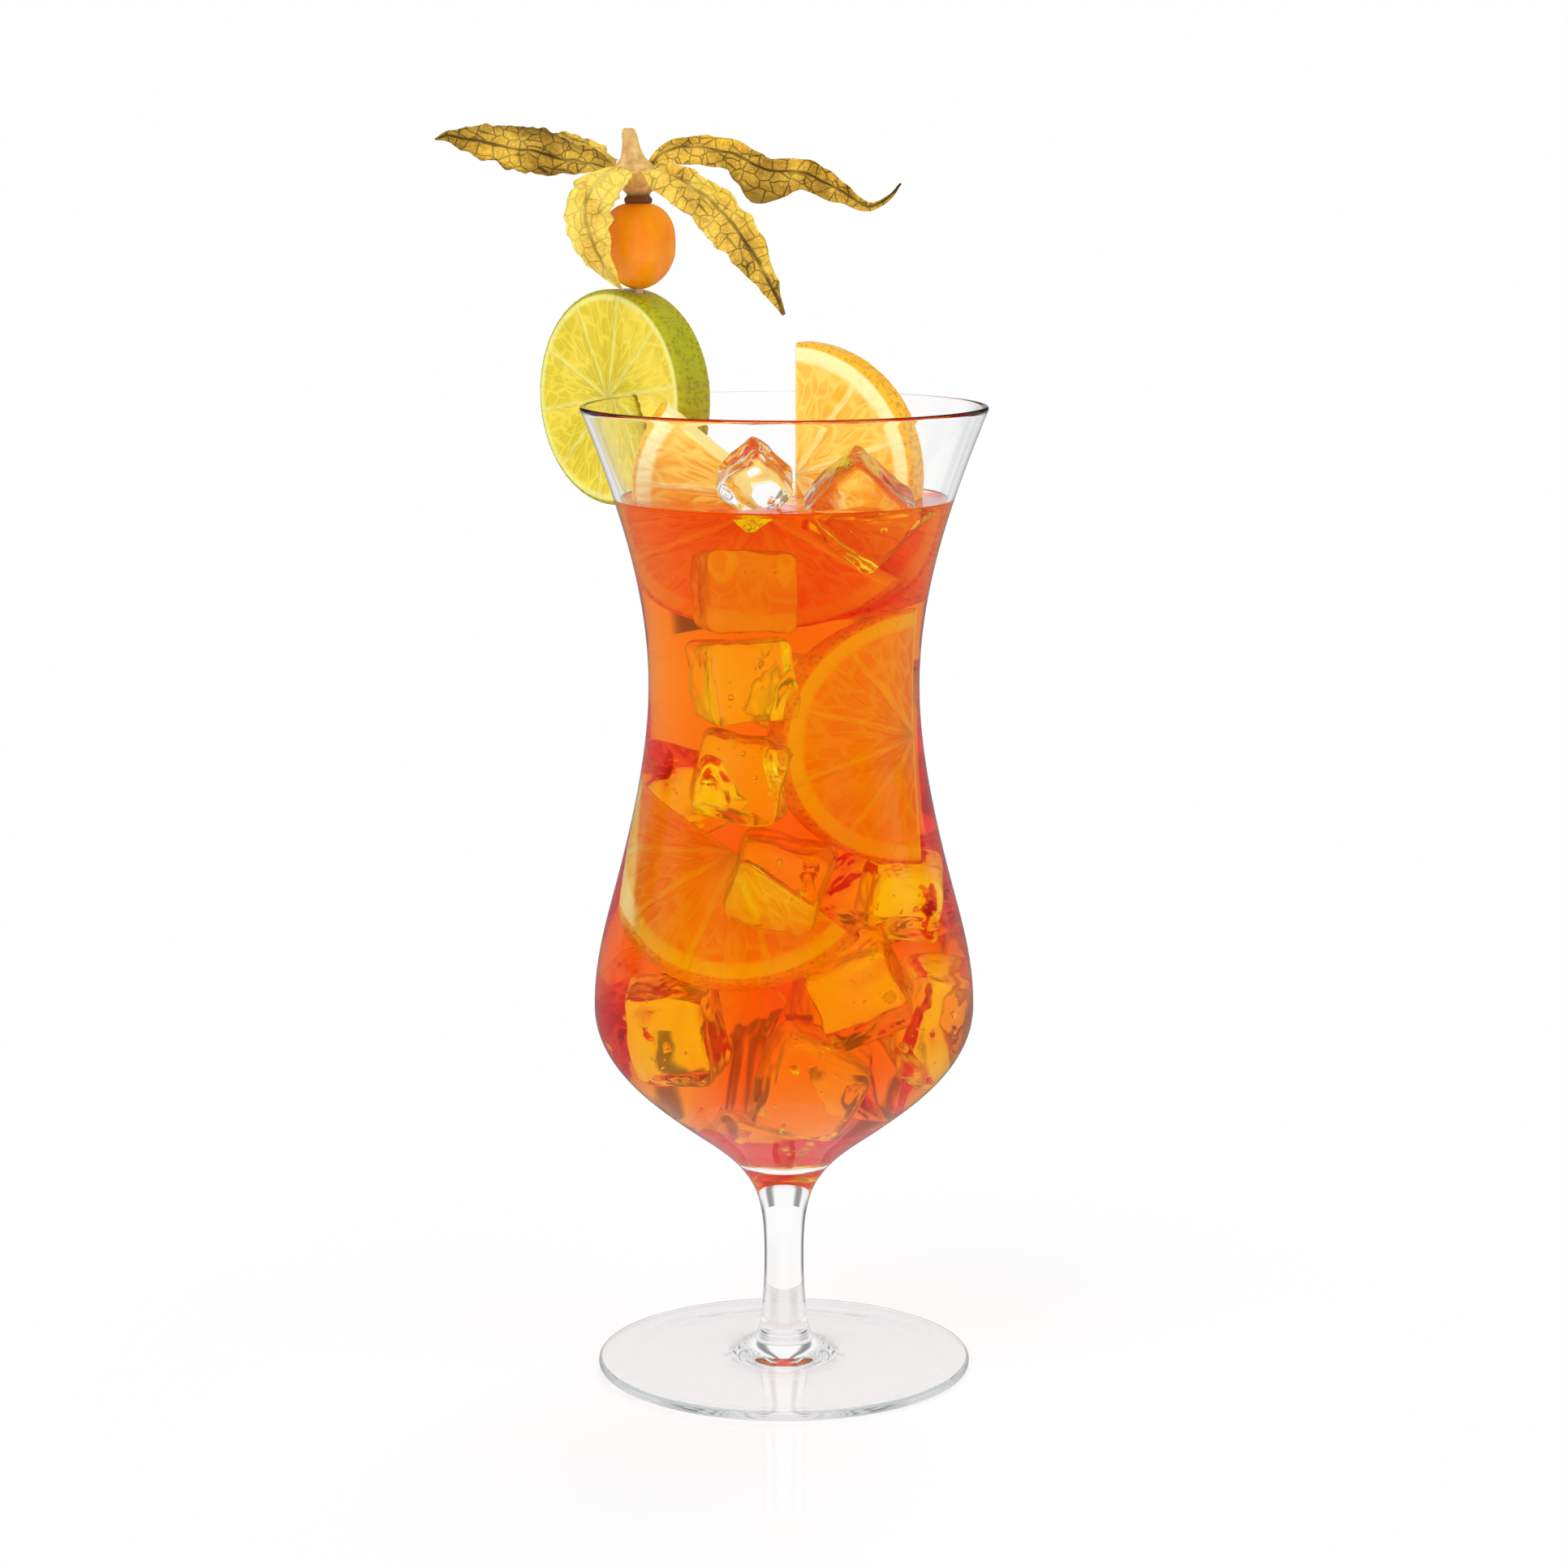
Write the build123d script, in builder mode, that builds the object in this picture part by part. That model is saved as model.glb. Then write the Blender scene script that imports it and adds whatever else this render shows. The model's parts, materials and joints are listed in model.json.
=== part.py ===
"""A hurricane glass served with an iced orange drink, citrus slices and a physalis on its rim.

The origin is the middle of the foot's underside, +Z is up and -Y is the side that the photo shows.
All sizes are millimetres and all angles are degrees.
"""

import math
import os

from build123d import *

# Bowl: radius, height and lean from upright of the outside at six stations
throat_radius = 7.0
throat_height = 40.4
throat_lean = 30.0
cone_radius = 22.0
cone_height = 54.0
cone_lean = 53.0
belly_radius = 40.35
belly_height = 79.5
shoulder_radius = 35.0
shoulder_height = 108.0
shoulder_lean = -14.5
waist_radius = 28.5
waist_height = 148.5
rim_radius = 42.5
rim_height = 206.0
rim_lean = 22.0

# Bowl: glass under the drink and wall at each station
floor_thickness = 5.6
cone_wall = 2.8
belly_wall = 1.6
shoulder_wall = 1.5
waist_wall = 1.4
rim_wall = 1.2

# Stem and foot
stem_radius = 4.2
stem_waist_height = 24.0
stem_root_radius = 5.2
stem_root_height = 9.0
hub_radius = 15.0
hub_height = 2.9
foot_radius = 40.0
foot_edge = 2.0
foot_round = 0.8
foot_ring_radius = 35.0
foot_hollow = 1.0

# Drink, below the rim
fill_drop = 19.0

# Ice
large_ice = 18.0
medium_ice = 16.0
small_ice = 13.0
ice_round = 2.4
contents_gap = 0.3

# Orange half slices
orange_radius = 28.0
orange_thickness = 7.0
orange_round = 1.0

# Lime wheel, which straddles the rim in a slit
lime_radius = 23.3
lime_thickness = 9.4
lime_round = 1.2
lime_bearing = 134.0
lime_overhang = 7.5
slit_gap = 0.3

# Pick, upright in the lime
pick_radius = 1.0
pick_point = 0.7
pick_inset = 5.0
pick_in_lime = 15.0
pick_in_berry = 11.0
pick_running_gap = 0.05
pick_end_gap = 1.0

# Physalis: berry, crown with its stalk, and papery husk leaves
berry_radius = 8.2
berry_length = 18.6
berry_seat_gap = 0.5
crown_radius = 5.6
crown_height = 10.0
crown_gap = 0.2
stalk_radius = 1.3
stalk_length = 5.5
husk_thickness = 0.5
husk_arch = 0.35
husk_root_width = 1.3
husk_tip_width = 0.6
husk_gap = 0.3
husk_stations = 7


def along(lean):
    """Direction of a wall that leans outward from upright."""
    return (math.sin(math.radians(lean)), math.cos(math.radians(lean)))


def inset_point(radius, height, lean, inset):
    """Point of a wall station, moved into the glass by inset."""
    across = math.radians(lean)
    return (radius - inset * math.cos(across), height + inset * math.sin(across))


# Each station: radius, height, lean, wall
stations = [
    (cone_radius, cone_height, cone_lean, cone_wall),
    (belly_radius, belly_height, 0.0, belly_wall),
    (shoulder_radius, shoulder_height, shoulder_lean, shoulder_wall),
    (waist_radius, waist_height, 0.0, waist_wall),
    (rim_radius, rim_height, rim_lean, rim_wall),
]
floor_height = throat_height + floor_thickness
fill_height = rim_height - fill_drop


def outer_wall(grow):
    """Outside of the bowl from throat to rim, moved outward by grow."""
    points = [inset_point(throat_radius, throat_height, throat_lean, -grow)]
    points += [inset_point(r, z, lean, -grow) for r, z, lean, wall in stations]
    return Spline(*points, tangents=[along(throat_lean)] + [along(s[2]) for s in stations])


def inner_wall(grow):
    """Inside of the bowl from the middle of its floor to the rim, moved inward by grow."""
    points = [(0, floor_height + grow)]
    points += [inset_point(r, z, lean, wall + grow) for r, z, lean, wall in stations]
    return Spline(*points, tangents=[(1, 0)] + [along(s[2]) for s in stations])


def bowl_section(grow):
    """Half section of the bowl's glass, thickened on both faces by grow."""
    lip_centre = inset_point(rim_radius, rim_height, rim_lean, rim_wall / 2)
    lip = rim_wall / 2 + grow
    rise = along(rim_lean)
    with BuildSketch(Plane.XZ) as section:
        with BuildLine():
            outside = outer_wall(grow)
            inside = inner_wall(grow)
            lip_top = (lip_centre[0] + lip * rise[0], lip_centre[1] + lip * rise[1])
            ThreePointArc(outside @ 1, lip_top, inside @ 1)
            Polyline(outside @ 0, (0, throat_height), inside @ 0)
        make_face()
    return section.sketch


def cavity_section(grow):
    """Half section of the space in the bowl and over its mouth, kept off the glass by grow."""
    with BuildSketch(Plane.XZ) as section:
        with BuildLine():
            inside = inner_wall(grow)
            mouth = inside @ 1
            top = rim_height + orange_radius
            Polyline(mouth, (mouth.X, top), (0, top), inside @ 0)
        make_face()
    return section.sketch


def save(piece, label):
    """Name a finished piece and write it to its own file."""
    piece.label = label
    export_step(piece, f"parts/{label}.step")


os.makedirs("parts", exist_ok=True)

# Bowl
with BuildPart() as bowl:
    revolve(bowl_section(0), axis=Axis.Z)
save(bowl.part, "bowl")

# Stem
with BuildPart() as stem:
    with BuildSketch(Plane.XZ):
        with BuildLine():
            side = Spline(
                (stem_root_radius, stem_root_height),
                (stem_radius, stem_waist_height),
                (throat_radius, throat_height),
                tangents=[along(-8), along(0), along(throat_lean)],
            )
            Polyline(side @ 1, (0, throat_height), (0, stem_root_height), side @ 0)
        make_face()
    revolve(axis=Axis.Z)
save(stem.part, "stem")

# Foot
with BuildPart() as foot:
    with BuildSketch(Plane.XZ):
        with BuildLine():
            flare = Spline(
                (stem_root_radius, stem_root_height),
                (hub_radius, hub_height),
                tangents=[(0.14, -1), (1, -0.06)],
            )
            slope = Line(flare @ 1, (foot_radius, foot_edge))
            edge = Line(slope @ 1, (foot_radius, 0))
            ring = Line(edge @ 1, (foot_ring_radius, 0))
            hollow = Spline(ring @ 1, (0, foot_hollow), tangents=[(-1, 0.08), (-1, 0)])
            Polyline(hollow @ 1, (0, stem_root_height), flare @ 0)
        make_face()
    revolve(axis=Axis.Z)
    rim_edges = foot.edges().filter_by(GeomType.CIRCLE).group_by(SortBy.RADIUS)[-1]
    fillet(rim_edges, foot_round)
save(foot.part, "foot")

# Space for the ice and fruit, kept off the glass
with BuildPart() as room:
    revolve(cavity_section(contents_gap), axis=Axis.Z)

with BuildLine(Plane.XZ):
    free_wall = inner_wall(contents_gap)


def free_radius(height):
    """Clear radius of the bowl at a height."""
    low, high = 0.0, 1.0
    while high - low > 1e-5:
        middle = (low + high) / 2
        if (free_wall @ middle).Z < height:
            low = middle
        else:
            high = middle
    return (free_wall @ low).X


def place(bearing, share, height):
    """Point in the bowl on a bearing from +X, at a share of the clear radius at its height."""
    reach = share * free_radius(min(height, rim_height))
    turn = math.radians(bearing)
    return Vector(reach * math.cos(turn), reach * math.sin(turn), height)


def ice_shape(edge, centre, turn, grow):
    """Ice cube with melted edges, grown on every side by grow."""
    with BuildPart(Plane(Location(centre, turn))) as cube:
        size = edge + 2 * grow
        Box(size, size, size)
        fillet(cube.edges(), ice_round + grow)
    return cube.part


def slice_shape(centre, out, face, grow):
    """Half slice whose cut edge is centred at centre and whose rind lies toward out."""
    normal = Vector(*face).normalized()
    across = Vector(*out).cross(normal)
    with BuildPart() as half:
        with BuildSketch(Plane(origin=centre, x_dir=across, z_dir=normal)):
            with BuildLine():
                base = Line((-orange_radius - grow, -grow), (orange_radius + grow, -grow))
                ThreePointArc(base @ 0, (0, orange_radius + grow), base @ 1)
            make_face()
        extrude(amount=orange_thickness / 2 + grow, both=True)
        fillet(half.edges().filter_by(GeomType.CIRCLE), orange_round + grow)
    return half.part


def meet(one, other):
    """Whether the boxes round two pieces share space."""
    a = one.bounding_box()
    b = other.bounding_box()
    below = all(p < q for p, q in zip(tuple(a.min), tuple(b.max)))
    return below and all(p < q for p, q in zip(tuple(b.min), tuple(a.max)))


contents = []
taken = []


def settle(label, shape, grown):
    """Melt a piece back from the wall and from the pieces already in the bowl, then keep it."""
    with BuildPart() as piece:
        add(shape)
        add(room.part, mode=Mode.INTERSECT)
        for neighbour in taken:
            if meet(shape, neighbour):
                add(neighbour, mode=Mode.SUBTRACT)
    contents.append(piece.part)
    taken.append(grown)
    save(piece.part, label)


# Orange half slices: middle of the cut edge, direction of the rind, direction that the face looks
oranges = {
    "orange_slice_left": (place(195, 0.11, fill_height + 2.5), (-0.64, 0.24, -0.73), (-0.07, -0.97, -0.24)),
    "orange_slice_right": (place(78, 0.51, fill_height + 4), (0.88, -0.47, 0), (-0.47, -0.88, 0)),
    "orange_slice_middle": (place(-5, 0.84, waist_height - 10.5), (-0.88, -0.47, 0), (0.47, -0.88, 0)),
    "orange_slice_low": (place(230, 0.40, shoulder_height + 5), (-0.65, -0.28, -0.71), (-0.1, -0.89, 0.44)),
}
for label, (centre, out, face) in oranges.items():
    settle(label, slice_shape(centre, out, face, 0), slice_shape(centre, out, face, contents_gap))

# Ice: edge, centre, and turns about X, Y and Z
ice = {
    "ice_float_left": (small_ice, place(248, 0.44, fill_height + 5.5), (20, 45, 0)),
    "ice_float_right": (large_ice, place(-36, 0.55, fill_height), (10, 45, 0)),
    "ice_cube_01": (large_ice, place(245, 0.55, fill_height - 16), (0, 0, 5)),
    "ice_cube_02": (large_ice, place(242, 0.57, waist_height + 3), (0, -5, 10)),
    "ice_cube_03": (large_ice, place(242, 0.58, waist_height - 17.5), (0, 10, -10)),
    "ice_cube_04": (medium_ice, place(160, 0.59, waist_height - 24.5), (20, -25, 30)),
    "ice_cube_05": (large_ice, place(267, 0.60, shoulder_height + 1.5), (5, 15, -5)),
    "ice_cube_06": (medium_ice, place(-13, 0.63, shoulder_height - 5), (15, 15, 15)),
    "ice_cube_07": (large_ice, place(-57, 0.67, belly_height + 8), (15, -20, 10)),
    "ice_cube_08": (large_ice, place(8, 0.68, belly_height - 2.5), (5, 20, 25)),
    "ice_cube_09": (large_ice, place(-72, 0.44, belly_height - 12), (10, 25, 5)),
    "ice_cube_10": (large_ice, place(215, 0.65, belly_height - 1.5), (5, -10, -20)),
    "ice_cube_11": (medium_ice, place(144, 0.28, cone_height + 2.5), (20, 20, 10)),
    "ice_cube_12": (large_ice, place(124, 0.61, belly_height - 5.5), (10, 20, 35)),
    "ice_cube_13": (large_ice, place(62, 0.60, belly_height - 2.5), (20, 10, 15)),
    "ice_cube_14": (large_ice, place(53, 0.64, shoulder_height - 9), (15, 25, 40)),
    "ice_cube_15": (large_ice, place(70, 0.60, waist_height - 3.5), (0, 15, 15)),
}
for label, (edge, centre, turn) in ice.items():
    settle(label, ice_shape(edge, centre, turn, 0), ice_shape(edge, centre, turn, contents_gap))

# Drink, which fills the bowl round everything in it
with BuildPart() as drink:
    revolve(cavity_section(0), axis=Axis.Z)
    split(bisect_by=Plane.XY.offset(fill_height), keep=Keep.BOTTOM)
    add(contents, mode=Mode.SUBTRACT)
save(drink.part, "drink")

# Lime wheel, upright and radial to the glass, with its middle level with the rim
bearing = math.radians(lime_bearing)
radial = Vector(math.cos(bearing), math.sin(bearing), 0)
lime_normal = Vector(-radial.Y, radial.X, 0)
lime_centre = radial * (rim_radius + lime_overhang) + Vector(0, 0, rim_height)
lime_top = rim_height + math.sqrt(lime_radius**2 - pick_inset**2)
pick_foot = radial * (rim_radius + lime_overhang - pick_inset)

with BuildPart() as lime_wheel:
    with BuildSketch(Plane(origin=lime_centre, x_dir=radial, z_dir=lime_normal)):
        Circle(lime_radius)
    extrude(amount=lime_thickness / 2, both=True)
    fillet(lime_wheel.edges().filter_by(GeomType.CIRCLE), lime_round)
    revolve(bowl_section(slit_gap), axis=Axis.Z, mode=Mode.SUBTRACT)
    with BuildSketch(Plane(origin=pick_foot + Vector(0, 0, lime_top - pick_in_lime))):
        Circle(pick_radius)
    extrude(amount=pick_in_lime + lime_radius, mode=Mode.SUBTRACT)
save(lime_wheel.part, "lime_wheel")

# Pick
with BuildPart() as garnish_pick:
    with BuildSketch(Plane(origin=pick_foot + Vector(0, 0, lime_top - pick_in_lime))):
        Circle(pick_radius)
    extrude(amount=pick_in_lime + berry_seat_gap + pick_in_berry)
    chamfer(garnish_pick.edges().group_by(Axis.Z)[-1], pick_point)
save(garnish_pick.part, "garnish_pick")

# Berry, standing on the lime and bored for the pick
berry_bottom = lime_top + berry_seat_gap
berry_top = berry_bottom + berry_length
berry_plane = Plane(origin=pick_foot, x_dir=radial, z_dir=lime_normal * -1)
berry_axis = Axis(pick_foot, (0, 0, 1))

with BuildPart() as physalis_berry:
    with BuildSketch(berry_plane):
        with BuildLine():
            skin = Spline(
                (0, berry_bottom),
                (berry_radius, berry_bottom + 0.52 * berry_length),
                (0, berry_top),
                tangents=[(1, 0), (0, 1), (-1, 0)],
            )
            Line(skin @ 0, skin @ 1)
        make_face()
    revolve(axis=berry_axis)
    with BuildSketch(Plane(origin=pick_foot + Vector(0, 0, berry_bottom - berry_seat_gap))):
        Circle(pick_radius + pick_running_gap)
    extrude(amount=berry_seat_gap + pick_in_berry + pick_end_gap, mode=Mode.SUBTRACT)
save(physalis_berry.part, "physalis_berry")

# Crown, the cap that the husk leaves grow from, with its stalk
crown_base = berry_top + crown_gap
with BuildPart() as physalis_crown:
    with BuildSketch(berry_plane):
        with BuildLine():
            Polyline(
                (0, crown_base),
                (crown_radius, crown_base),
                (crown_radius, crown_base + crown_height / 2),
                (stalk_radius, crown_base + crown_height),
                (stalk_radius, crown_base + crown_height + stalk_length),
                (0, crown_base + crown_height + stalk_length),
                close=True,
            )
        make_face()
    revolve(axis=berry_axis)
save(physalis_crown.part, "physalis_crown")

crown_centre = pick_foot + Vector(0, 0, crown_base + crown_height / 2)


def husk_leaf(label, tip, bulge, width, roll):
    """Papery leaf from the crown to its tip, its midrib bowed by bulge and its blade rolled about it."""
    level = Vector(tip[0], tip[1], 0).normalized()
    root = crown_centre + level * (crown_radius + husk_gap)
    end = crown_centre + Vector(*tip)
    with BuildLine(mode=Mode.PRIVATE):
        midrib = Bezier(root, (root + end) * 0.5 + Vector(*bulge) * 2, end)
    side = Vector(-level.Y, level.X, 0)
    with BuildPart() as leaf:
        for step in range(husk_stations):
            t = step / (husk_stations - 1)
            heading = midrib % t
            spread = (side - heading * side.dot(heading)).normalized()
            spread = spread.rotate(Axis((0, 0, 0), heading), roll * t)
            taper = husk_root_width + (husk_tip_width - husk_root_width) * t
            half = taper + (width / 2 - husk_root_width) * math.sin(math.pi * t**0.8)
            sag = -husk_arch * half
            with BuildSketch(Plane(origin=midrib @ t, x_dir=spread, z_dir=heading)):
                with BuildLine():
                    top = ThreePointArc((-half, sag), (0, 0), (half, sag))
                    drop = (0, -husk_thickness)
                    under = ThreePointArc(top @ 0 + drop, drop, top @ 1 + drop)
                    Line(top @ 0, under @ 0)
                    Line(top @ 1, under @ 1)
                make_face()
        loft()
    save(leaf.part, label)


# Husk leaves: tip from the crown, bow of the midrib, width, roll of the blade
husk_leaf("husk_leaf_left", (-42, -6, 3), (0, 0, 1), 10, 50)
husk_leaf("husk_leaf_back", (-20, 26, 4), (0, 0, 2), 9, 20)
husk_leaf("husk_leaf_front", (-9, -11, -23), (-3, -4, 3), 11, 0)
husk_leaf("husk_leaf_drooping", (32, -20, -32), (2, -1, 8), 12, 10)
husk_leaf("husk_leaf_right", (57, 4, -7), (0, 0, 4), 11, -40)
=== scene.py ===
"""Looks of a served hurricane glass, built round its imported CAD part.

Places and sizes are metres in the part's own frame: +Z up, -Y toward the viewer.
"""

import json
import math
import random

import bpy
import bmesh
import numpy as np
from mathutils import Matrix, Vector, noise


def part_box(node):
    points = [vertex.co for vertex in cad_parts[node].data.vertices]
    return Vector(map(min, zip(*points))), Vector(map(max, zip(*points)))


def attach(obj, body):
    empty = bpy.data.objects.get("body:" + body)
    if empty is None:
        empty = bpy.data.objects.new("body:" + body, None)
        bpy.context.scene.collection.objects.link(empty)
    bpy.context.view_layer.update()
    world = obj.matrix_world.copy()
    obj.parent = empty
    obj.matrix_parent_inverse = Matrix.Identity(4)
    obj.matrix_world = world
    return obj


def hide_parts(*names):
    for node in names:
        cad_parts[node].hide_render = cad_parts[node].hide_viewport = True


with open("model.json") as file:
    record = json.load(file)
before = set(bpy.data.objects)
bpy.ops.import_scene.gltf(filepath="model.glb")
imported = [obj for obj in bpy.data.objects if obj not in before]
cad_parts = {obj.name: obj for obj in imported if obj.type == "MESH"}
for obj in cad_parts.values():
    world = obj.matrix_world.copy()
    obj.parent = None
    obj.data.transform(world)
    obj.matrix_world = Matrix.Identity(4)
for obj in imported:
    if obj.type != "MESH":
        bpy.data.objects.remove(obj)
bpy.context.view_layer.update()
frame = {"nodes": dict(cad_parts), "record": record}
nodes = frame["nodes"]

MM = 0.001
TURN = 2 * math.pi
WHITE = (1, 1, 1, 1)

# Camera, fitted to the photo
PHOTO_PIXELS = 1932
FOCAL_PIXELS = 4800
SENSOR_MM = 36.0
CAMERA_PLACE = (0, -0.8113, 0.2656)
CAMERA_TILT = math.radians(90 - 9.70)

# Lamps: name, place and watts
LAMPS = (
    ("key", (-0.6, -0.8, 0.9), 9.0),
    ("fill", (0.9, -0.5, 0.6), 4.0),
    ("back", (0.3, 0.9, 0.8), 9.0),
)
LAMP_SIZE = 0.8
LAMP_AIM = Vector((0, 0, 0.15))
FLOOR_REACH = 6
FLOOR_DROP = 0.2 * MM
LIGHT_BOUNCES = 96

# Glass: spacing of its outline, closest points that are kept, and its lip
OUTLINE_STEP = 0.6 * MM
OUTLINE_GAP = 0.06 * MM
WALL_GAP = 0.05 * MM
LIP_RADIUS = 0.6 * MM
GLASS_AROUND = 192

# Glass: normals of the CAD faces that look out, in and down, and where the foot's edge begins
LOOKS_OUT = 0.02
LOOKS_IN = -0.002
LOOKS_DOWN = -0.5
FOOT_EDGE_SHARE = 0.975

# Ice and drink: the ice reaches into the drink and the drink into the glass, to leave no air
ICE_VOXEL = 0.6 * MM
ICE_OVERLAP = 0.04 * MM
DRINK_STEP = 0.8 * MM
DRINK_OVERLAP = 0.03 * MM
DRINK_AROUND = 200
CREEP = 1.1 * MM

# Fruit
FRUIT_VOXEL = 0.55 * MM
SEGMENTS = 10
ORANGE_RADIUS = 28 * MM
LIME_RADIUS = 23.3 * MM

# Husk
LEAF_ROWS = 150
LEAF_COLUMNS = 33
PAPER = 0.12 * MM
# Each leaf's age value is partly real browning and partly painted light: the front leaf's low
# value paints it a paler gold, standing in for light shining through it
LEAVES = {
    "husk_leaf_left": dict(
        midrib=[
            (-3, 0, 5.5), (-6.5, -1.4, 7.2), (-14.8, -2.4, 8.9), (-25, -4.4, 11),
            (-35.2, -5.9, 12.7), (-40.7, -6.4, 13.7), (-42.7, -6.4, 13.2),
        ],
        front=[2, 4, 6, 6.5, 6, 5, 3, 0.3],
        back=[1.5, 4, 7, 8.5, 8, 6, 3.5, 0.3],
        facing=[(0, -0.6, 0.8), (0.05, -0.85, 0.5), (0, -0.9, 0.4)],
        arch=0.15, curl=0.5, browning_and_painted_glow=0.25, seed=1,
    ),
    "husk_leaf_back": dict(
        midrib=[
            (-3, 2, 5.5), (-6.7, 4, 8), (-10.6, 11.6, 11.2), (-15.4, 19.6, 13.3),
            (-20.5, 25.6, 13.9),
        ],
        front=[1.5, 4, 5, 4, 0.4],
        back=[1.5, 4, 4.5, 3, 0.4],
        facing=[(0.2, -0.4, 0.9), (0.3, -0.7, 0.6)],
        arch=0.3, curl=0.2, browning_and_painted_glow=0.05, seed=2,
    ),
    "husk_leaf_front": dict(
        midrib=[
            (-2, -3, 6), (-3.4, -5.4, 7.1), (-7.8, -11.4, 4.6), (-10.5, -13.9, -2.1),
            (-8.7, -13.4, -9.9), (-5.9, -12.4, -14.5), (-3.3, -11.4, -18.3),
        ],
        front=[2, 5, 6, 6, 5, 3, 0.4],
        back=[2, 5, 6.5, 6, 4.5, 2.5, 0.4],
        facing=[(-0.3, -0.5, 0.8), (-0.35, -0.9, 0.1), (-0.3, -0.95, -0.1)],
        arch=0.3, curl=0.2, browning_and_painted_glow=-0.25, seed=3,
    ),
    "husk_leaf_drooping": dict(
        midrib=[
            (2, -3, 6), (2.6, -5.4, 6.9), (10.5, -10.4, 3.9), (18.3, -15.4, -2.1),
            (24.3, -19.4, -9.7), (28.5, -20.4, -16.8), (31.3, -21.4, -23.1),
        ],
        front=[1.5, 4, 5.5, 5.5, 5.5, 4, 2.5, 0.3],
        back=[1.5, 3, 4.5, 5, 5, 3.5, 2, 0.3],
        facing=[(0.2, -0.6, 0.8), (0.2, -0.9, 0.4), (0.1, -0.95, 0.25)],
        arch=0.3, curl=0.6, browning_and_painted_glow=0.05, seed=4,
    ),
    "husk_leaf_right": dict(
        midrib=[
            (2.5, 0.3, 7), (4.5, 0.6, 9.6), (11.1, 1.6, 11.3), (19.8, 2.6, 10.3),
            (27.1, 3.6, 6.8), (35.4, 4.1, 6.1), (43.3, 4.6, 2.1), (49.8, 4.6, -1.1),
            (54, 4.6, 0.9), (56.4, 4.6, 3.7),
        ],
        front=[1.2, 3.5, 4, 4, 8, 4.5, 3.5, 2, 0.6, 0.2],
        back=[1.2, 3, 3.5, 3, 2.5, 3.5, 3, 1.5, 0.5, 0.2],
        facing=[(0, -0.6, 0.8), (0, -0.85, 0.5), (0, -0.9, 0.4), (0.1, -0.85, 0.5)],
        arch=0.2, curl=0.5, browning_and_painted_glow=0.2, seed=5,
    ),
}

# Physalis crown: share of its width at each share of its height
CROWN_SECTION = (
    (0.0, -0.03), (0.52, -0.02), (0.55, 0.03), (0.45, 0.08), (0.62, 0.15),
    (0.9, 0.25), (1.0, 0.34), (0.96, 0.43), (0.72, 0.52), (0.5, 0.6),
    (0.38, 0.7), (0.32, 0.82), (0.28, 0.93), (0.2, 0.99), (0.0, 1.0),
)
CROWN_STEP = 0.25 * MM


# Meshes

def new_object(name, mesh):
    """Object for a mesh, in the scene."""
    mesh.name = name
    made = bpy.data.objects.new(name, mesh)
    bpy.context.scene.collection.objects.link(made)
    return made


def mesh_from(name, points, faces):
    """Smooth mesh from points and faces."""
    mesh = bpy.data.meshes.new(name)
    mesh.from_pydata([tuple(p) for p in points], [], faces)
    mesh.shade_smooth()
    return mesh


def get_points(mesh):
    """Vertex places of a mesh as an array."""
    flat = np.empty(len(mesh.vertices) * 3)
    mesh.vertices.foreach_get("co", flat)
    return flat.reshape(-1, 3)


def set_points(mesh, points):
    """Move a mesh's vertices to new places."""
    mesh.vertices.foreach_set("co", np.ascontiguousarray(points).ravel())
    mesh.update()


def get_normals(mesh):
    """Vertex normals of a mesh as an array."""
    flat = np.empty(len(mesh.vertices) * 3)
    mesh.vertices.foreach_get("normal", flat)
    return flat.reshape(-1, 3)


def baked(made):
    """Mesh of an object with its modifiers applied."""
    graph = bpy.context.evaluated_depsgraph_get()
    return bpy.data.meshes.new_from_object(made.evaluated_get(graph))


def remeshed(node, voxel):
    """Even, slightly smoothed copy of a CAD node's mesh."""
    source = new_object("source", nodes[node].data.copy())
    remesh = source.modifiers.new("remesh", "REMESH")
    remesh.mode = "VOXEL"
    remesh.voxel_size = voxel
    smooth = source.modifiers.new("smooth", "SMOOTH")
    smooth.factor = 0.5
    smooth.iterations = 3
    mesh = baked(source)
    bpy.data.objects.remove(source)
    mesh.materials.clear()
    mesh.shade_smooth()
    return mesh


def add_uv(mesh, name, flat):
    """UV map that gives each vertex its own pair of numbers."""
    layer = mesh.uv_layers.new(name=name)
    corners = np.empty(len(mesh.loops), dtype=np.int32)
    mesh.loops.foreach_get("vertex_index", corners)
    layer.data.foreach_set("uv", np.ascontiguousarray(flat[corners]).ravel())


def add_value(mesh, name, values):
    """Number that each vertex carries for its material."""
    layer = mesh.attributes.new(name, "FLOAT", "POINT")
    layer.data.foreach_set("value", np.ascontiguousarray(values, dtype=np.float32))


def dress(made, body, material, slot, *replaced):
    """Give a piece its material and body, and hide the CAD nodes that it stands for; slot is not
    used.
    """
    made.data.materials.clear()
    made.data.materials.append(material)
    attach(made, body)
    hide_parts(*replaced)


# Outlines of the glass, read from the CAD solids

def outline(node, keep, order):
    """Radius and height of a turned CAD node's vertices on the faces that keep picks, in order."""
    mesh = nodes[node].data
    points = get_points(mesh)
    chosen = set()
    for face in mesh.polygons:
        middle = face.center
        radius = math.hypot(middle.x, middle.y)
        out = (face.normal.x * middle.x + face.normal.y * middle.y) / max(radius, 1e-9)
        if keep(out, face.normal.z, radius):
            chosen.update(face.vertices)
    picked = points[sorted(chosen)]
    flat = np.column_stack([np.hypot(picked[:, 0], picked[:, 1]), picked[:, 2]])
    return sorted(map(tuple, flat), key=order)


def upward(point):
    """Order of an outline that climbs."""
    return point[1]


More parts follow.
